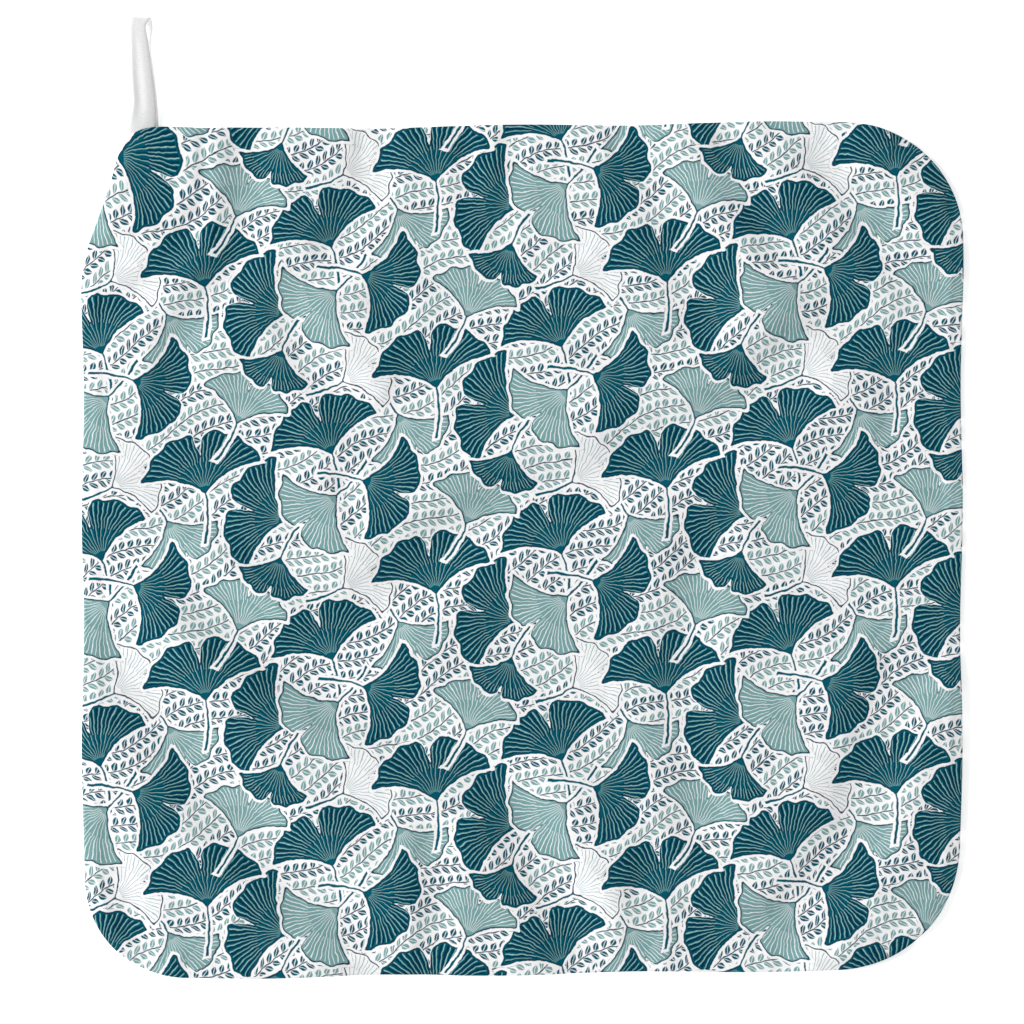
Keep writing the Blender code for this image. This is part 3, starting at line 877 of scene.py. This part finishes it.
    def unevenness(self, x: Array, y: Array) -> Array:
        """Fine unevenness of the laid cloth: the sum of sine waves in all directions.

        Each wave is amplitude * sin(wave number along its direction + phase), longer waves are higher,
        and directions, lengths and phases come from one seeded draw.
        """
        draw = np.random.default_rng(11)
        shortest, longest = self.crinkle_lengths
        total = np.zeros_like(x)
        for _ in range(self.crinkle_waves):
            angle, phase = draw.uniform(0, 2 * np.pi, 2)
            length = shortest * (longest / shortest) ** draw.uniform()
            along = x * np.cos(angle) + y * np.sin(angle)
            total += np.sin(2 * np.pi * along / length + phase) * (length / (12 * MM)) ** 0.8
        return total * self.crinkle / 5

    def puckers(self, x: Array, y: Array, inset: Array) -> Array:
        """Short ripples across the hem, drawn up by its stitching.

        Around the edge they are two sines, of about 9 and 6.3 mm, and they fade with the distance from the
        stitching by exp(-(distance / fade) squared).
        """
        ring = self.ring(self.groove, 1200)
        near = inset < self.pucker_reach
        _, place = nearest_on_line(x[near], y[near], np.vstack([ring, ring[:1]]))
        long, short = (2 * np.pi * count * place for count in self.pucker_counts)
        ripple = np.sin(long) + 0.7 * np.sin(short + 1.0)
        fade = np.exp(-(((inset[near] - self.groove) / self.pucker_fade) ** 2))
        height = np.zeros_like(x)
        height[near] = self.pucker * ripple * fade
        return height

    def ring(self, inset: float, count: int) -> Array:
        """Points on a line that follows the cloth's edge at one distance from it.

        Args:
            inset: The distance from the edge.
            count: How many points, a multiple of four.

        Returns:
            The settled plan positions, anticlockwise.
        """
        side = np.linspace(-1, 1, count // 4, endpoint=False)
        one = np.ones_like(side)
        x = np.concatenate([side, one, -side, -one]) * (self.half_width - inset)
        y = np.concatenate([-one, side, one, -side]) * (self.half_length - inset)
        return np.stack(self.settled(*self.rounded(x, y)), axis=-1)

    def faces_at(self, x: Array, y: Array, inset: Array) -> tuple[Array, Array]:
        """Heights of the underside and the printed face over the floor.

        Args:
            x: Settled plan positions to the right.
            y: Settled plan positions upwards.
            inset: Their distances from the edge.

        Returns:
            The underside's and the face's heights.
        """
        lift = self.lift(x, y)
        fine = self.unevenness(x, y) + self.puckers(x, y, inset)
        insets, *sides = MM * np.array([(line.inset, line.under, line.top) for line in self.hem]).T
        under, top = (np.interp(inset, insets, side) for side in sides)
        return np.maximum(lift + under + fine, 0.0), lift + top + fine

    def build(self, finish: Material, place: Array) -> Piece:
        """Build the cloth as two grids joined around the edge.

        Args:
            finish: Its material.
            place: The lowest and highest corners that the frame gives the cloth.

        Returns:
            The cloth, with the fields that its material reads.
        """
        lines_x = self.grid_lines(self.half_width, self.cells_across)
        lines_y = self.grid_lines(self.half_length, self.cells_up)
        square_x, square_y = np.meshgrid(lines_x, lines_y)
        inset = np.minimum(self.half_width - np.abs(square_x), self.half_length - np.abs(square_y))
        flat_x, flat_y = self.rounded(square_x, square_y)
        x, y = self.settled(flat_x, flat_y)
        self.shift = place[:, :2].mean(axis=0) - [(x.min() + x.max()) / 2, (y.min() + y.max()) / 2]
        under, top = self.faces_at(x, y, inset)
        x, y = x + self.shift[0], y + self.shift[1]
        points = np.moveaxis([[x, y, under], [x, y, top]], 1, -1)

        # The print runs on round the edge and under the hem, so its plan is mirrored there
        turned = 2 * inset * (inset < self.turned_hem)
        mirror_x = square_x + np.sign(square_x) * turned * (self.half_width - np.abs(square_x) <= inset)
        mirror_y = square_y + np.sign(square_y) * turned * (self.half_length - np.abs(square_y) <= inset)
        back_x, back_y = self.rounded(mirror_x, mirror_y)
        zero = np.zeros_like(x)
        plan = np.moveaxis([[back_x, back_y, zero], [flat_x, flat_y, zero]], 1, -1)
        printed = np.stack([(inset < self.turned_hem) * 1.0, zero + 1.0])

        index = np.arange(x.size).reshape(x.shape)
        above = index + x.size
        border = np.concatenate([index[0, :-1], index[:-1, -1], index[-1, :0:-1], index[:0:-1, 0]])
        ahead = np.roll(border, -1)
        rim = np.stack([border, ahead, ahead + x.size, border + x.size], axis=-1)
        faces = np.concatenate([grid_faces(index)[:, ::-1], grid_faces(above), rim])
        piece = add_piece("printed_cloth_sheet", points, faces.tolist(), finish)
        add_field(piece, "plan", plan.reshape(-1, 3))
        add_field(piece, "printed", printed.ravel())
        return piece

    def stitch_path(self) -> Array:
        """The hem's line of stitching on the back, as a closed row of points."""
        ring = self.ring(self.groove, 2400)
        under, _ = self.faces_at(*ring.T, np.full(len(ring), self.groove))
        return np.column_stack([ring + self.shift, np.maximum(under, self.stitch_height)])


# The loop


@dataclass(frozen=True)
class TapeStation:
    """One place along the loop's tape, in millimetres.

    Attributes:
        x: Middle of the tape to the right, from the middle of the cloth.
        y: The same, upwards.
        z: The same, over the floor.
        width: The tape's width.
        arch: How far its middle stands over its edges.
    """

    x: float
    y: float
    z: float
    width: float
    arch: float


@dataclass
class HangingLoop:
    """The loop of soft tape: a lower strand on the floor that turns up and comes back above it."""

    thickness: float = 0.9 * MM
    crest: float = 0.25  # where the arch is highest, from -1 at the left edge to 1 at the right
    crest_rise: float = 0.42  # how far its flank reaches to the left of that, in half widths
    crest_fall: float = 0.9  # and to the right
    curl: float = 0.9  # how far the left edge curls up, as a share of the arch
    curl_reach: float = 0.4
    edge_power: int = 8  # how late the tape's faces close to its round edges
    floor_gap: float = 0.03 * MM
    steps: int = 12  # rings in each span between two stations
    columns: int = 16  # cells across the tape
    course: tuple[TapeStation, ...] = (
        TapeStation(-127.2, 126.0, 0.60, 7.4, 0.0),
        TapeStation(-127.3, 143.0, 0.60, 7.4, 0.0),
        TapeStation(-128.2, 158.0, 0.55, 6.8, 0.0),
        TapeStation(-129.4, 171.0, 0.60, 6.0, 0.0),
        TapeStation(-128.9, 177.6, 1.80, 6.5, 0.0),
        TapeStation(-129.2, 180.2, 4.70, 6.6, 0.0),
        TapeStation(-130.1, 177.4, 7.40, 5.4, 0.0),
        TapeStation(-129.5, 171.0, 7.80, 6.2, 0.3),
        TapeStation(-128.7, 160.5, 6.60, 7.4, 0.6),
        TapeStation(-128.2, 152.0, 3.95, 7.9, 0.6),
        TapeStation(-128.9, 146.0, 1.95, 8.8, 0.3),
        TapeStation(-129.2, 141.0, 1.80, 9.4, 0.1),
        TapeStation(-128.9, 126.0, 1.75, 9.0, 0.0),
    )

    def sections(self, width: Array, arch: Array) -> Array:
        """Cross-sections of the tape, anticlockwise from its right edge.

        The face is half the thickness * root(1 - place to the edge's power) from the middle line, with
        place from -1 to 1. The middle line has two bells of exp(-(distance / reach) squared), the crest
        and the curled left edge.

        Args:
            width: The width of each section.
            arch: The arch of each section.

        Returns:
            An array of sections, points and the two offsets across and through the tape.
        """
        across = np.cos(np.linspace(0, np.pi, self.columns + 1))
        place = np.concatenate([across, across[-2:0:-1]])
        face = np.concatenate([np.ones(self.columns + 1), -np.ones(self.columns - 1)])
        full = self.thickness / 2 * (1 - np.abs(place) ** self.edge_power) ** 0.5
        reach = np.where(place < self.crest, self.crest_rise, self.crest_fall)
        crest = np.exp(-(((place - self.crest) / reach) ** 2))
        curl = self.curl * np.exp(-(((place + 1) / self.curl_reach) ** 2))
        through = full * face + arch[:, None] * (crest + curl)
        return np.stack([place * width[:, None] / 2, through], axis=-1)

    def build(self, finish: Material, shift: Array) -> Piece:
        """Carry the tape's section along its course.

        Args:
            finish: Its material.
            shift: From the middle of the cloth to its place in the frame.

        Returns:
            The loop, with the field that its material reads.
        """
        stations = [(at.x, at.y, at.z, at.width, at.arch) for at in self.course]
        course = smooth_curve(stations, self.steps) * MM
        course[:, 2] = np.maximum(course[:, 2], self.thickness / 2 + self.floor_gap)
        centre = course[:, :3] + [*shift, 0.0]
        ahead = np.gradient(centre, axis=0)
        length = np.linalg.norm(ahead, axis=1, keepdims=True)
        ahead /= length
        across = np.array([1.0, 0.0, 0.0]) - ahead[:, :1] * ahead
        across /= np.linalg.norm(across, axis=1, keepdims=True)
        # The upper strand runs back towards the cloth, so its face is the tape's other side
        through = np.cross(across, ahead)
        sections = self.sections(course[:, 3], -course[:, 4])
        aside, above = np.split(sections, 2, axis=-1)
        rings = centre[:, None] + aside * across[:, None] + above * through[:, None]
        index = np.arange(rings.shape[0] * rings.shape[1]).reshape(rings.shape[:2])
        piece = add_piece("loop_tape_band", rings, tube_faces(index[:, ::-1]), finish)
        run = np.broadcast_to(np.cumsum(length)[:, None], index.shape)
        field = np.stack([sections[..., 0], run, np.sign(sections[..., 1]) * MM], axis=-1)
        add_field(piece, "tape", field.reshape(-1, 3))
        return piece


# The stitching


@dataclass
class Stitching:
    """A line of blind stitch on the back: short lengths of thread that dive into the cloth at each end."""

    pitch: float = 2.8 * MM
    thread: float = 0.34 * MM
    length_share: float = 0.8  # of the pitch, the rest being between two stitches
    lead: float = 1.2  # where the first stitch's middle lies, in half stitches
    hang: float = 0.25  # how far a stitch's middle hangs below its ends, in thread widths
    sink: float = 0.1  # how far its ends go up into the cloth, in thread widths
    blunt: float = 1.05  # over 1, so that its ends aren't points
    rings: int = 7
    sides: int = 6

    def points(self, path: Array) -> Array:
        """Place the stitches along a closed path.

        At a place from -1 to 1 along a stitch, its middle hangs hang * (1 - place squared) - sink thread
        widths below the path, and its radius is the thread's times root(blunt - place to the power of 4).

        Args:
            path: The path's rows.

        Returns:
            The vertices, by stitch, ring and side.
        """
        closed = np.vstack([path, path[:1]])
        run = np.concatenate([[0.0], np.cumsum(np.linalg.norm(np.diff(closed, axis=0), axis=1))])
        count = round(run[-1] / self.pitch)
        start = np.arange(count)[:, None] * run[-1] / count
        place = np.linspace(-1, 1, self.rings)
        at = (start + (place + self.lead) / 2 * self.pitch * self.length_share) % run[-1]
        middle = np.stack([np.interp(at, run, closed[:, axis]) for axis in range(3)], axis=-1)
        middle[..., 2] -= self.thread * (self.hang * (1 - place**2) - self.sink)
        ahead = np.gradient(middle, axis=1)
        ahead /= np.linalg.norm(ahead, axis=-1, keepdims=True)
        aside = np.cross(ahead, [0.0, 0.0, 1.0])
        aside /= np.linalg.norm(aside, axis=-1, keepdims=True)
        up = np.cross(aside, ahead)
        radius = self.thread / 2 * (self.blunt - place**4) ** 0.5
        turn = np.arange(self.sides) * 2 * np.pi / self.sides
        wheel = aside[:, :, None] * np.cos(turn)[:, None] + up[:, :, None] * np.sin(turn)[:, None]
        return middle[:, :, None] + radius[:, None, None] * wheel

    def build(self, name: str, path: Array, finish: Material) -> Piece:
        """Build the stitches of a path as one piece."""
        stitches = self.points(path)
        count = stitches.shape[0]
        index = np.arange(stitches[0, ..., 0].size).reshape(self.rings, self.sides)
        around = grid_faces(np.hstack([index, index[:, :1]]))
        offset = np.arange(count)[:, None, None] * index.size
        walls = (around[None] + offset).reshape(-1, 4)
        ends = np.stack([index[0, ::-1], index[-1]])
        caps = (ends[None] + offset).reshape(-1, self.sides)
        return add_piece(name, stitches, [*walls.tolist(), *caps.tolist()], finish)


# The studio


@dataclass
class Studio:
    """A white paper floor, a soft key light from the left, an even fill and the camera above."""

    view_middle: Point = (-3.5 * MM, -4.7 * MM)
    view_width: float = 347.7 * MM
    face_height: float = 3 * MM  # of the printed face over the floor, which the view width holds for
    lens: float = 135.0
    sensor: float = 36.0
    floor_half_size: float = 2.0
    key_place: tuple[float, float, float] = (-3.2, 0.35, 2.1)
    key_size: float = 2.2
    key_power: float = 152.0
    fill_strength: float = 0.58

    def floor(self, finish: Material) -> Piece:
        """A flat sheet of paper, with its top on the surface that the towel lies on."""
        across = np.linspace(-1, 1, 9) * self.floor_half_size
        x, y = np.meshgrid(across, across)
        points = np.stack([x, y, np.zeros_like(x)], axis=-1)
        index = np.arange(x.size).reshape(x.shape)
        return add_piece("paper_floor", points, grid_faces(index).tolist(), finish)

    def light(self) -> None:
        """Add the key light, aimed at the towel, and the even fill of a white room."""
        lamp = bpy.data.lights.new("key_light", "AREA")
        lamp.shape = "DISK"
        lamp.size = self.key_size
        lamp.energy = self.key_power
        key = bpy.data.objects.new("key_light", lamp)
        key.location = self.key_place
        x, y, z = self.key_place
        key.rotation_euler = (math.atan2(math.hypot(x, y), z), 0.0, math.atan2(x, -y))
        bpy.context.scene.collection.objects.link(key)
        room = bpy.data.worlds.new("white_room")
        room.use_nodes = True
        backdrop = room.node_tree.nodes["Background"]
        backdrop.inputs["Color"].default_value = (1.0, 1.0, 1.0, 1.0)
        backdrop.inputs["Strength"].default_value = self.fill_strength
        bpy.context.scene.world = room

    def camera(self) -> None:
        """Put a long lens straight above the towel, framed as the photograph is."""
        lens = bpy.data.cameras.new("camera_above")
        lens.lens = self.lens
        lens.sensor_width = self.sensor
        height = self.view_width * self.lens / self.sensor + self.face_height
        eye = bpy.data.objects.new("camera_above", lens)
        eye.location = (*self.view_middle, height)
        bpy.context.scene.collection.objects.link(eye)
        bpy.context.scene.camera = eye
        bpy.context.scene.view_settings.view_transform = "Standard"


def main() -> None:
    """Build the towel's looks around its frame."""
    logging.basicConfig(level=logging.INFO, format="%(name)s: %(message)s")
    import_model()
    cloth_place = np.array(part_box("towel_cloth"))

    thread = ThreadFinish().material()
    cloth = TowelCloth()
    sheet = cloth.build(PlushFinish().material(), cloth_place)
    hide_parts("towel_cloth")
    LOG.info("cloth: %d faces", len(sheet.data.polygons))

    loop = HangingLoop().build(TapeFinish().material(), cloth.shift)
    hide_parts("hanging_loop")
    LOG.info("loop: %d faces", len(loop.data.polygons))

    hem_thread = Stitching().build("hem_stitching", cloth.stitch_path(), thread)
    LOG.info("hem stitching: %d faces", len(hem_thread.data.polygons))

    for piece in (sheet, loop, hem_thread):
        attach(piece, "root")

    studio = Studio()
    studio.floor(PaperFinish().material())
    studio.light()
    studio.camera()


if __name__ == "__main__":
    main()
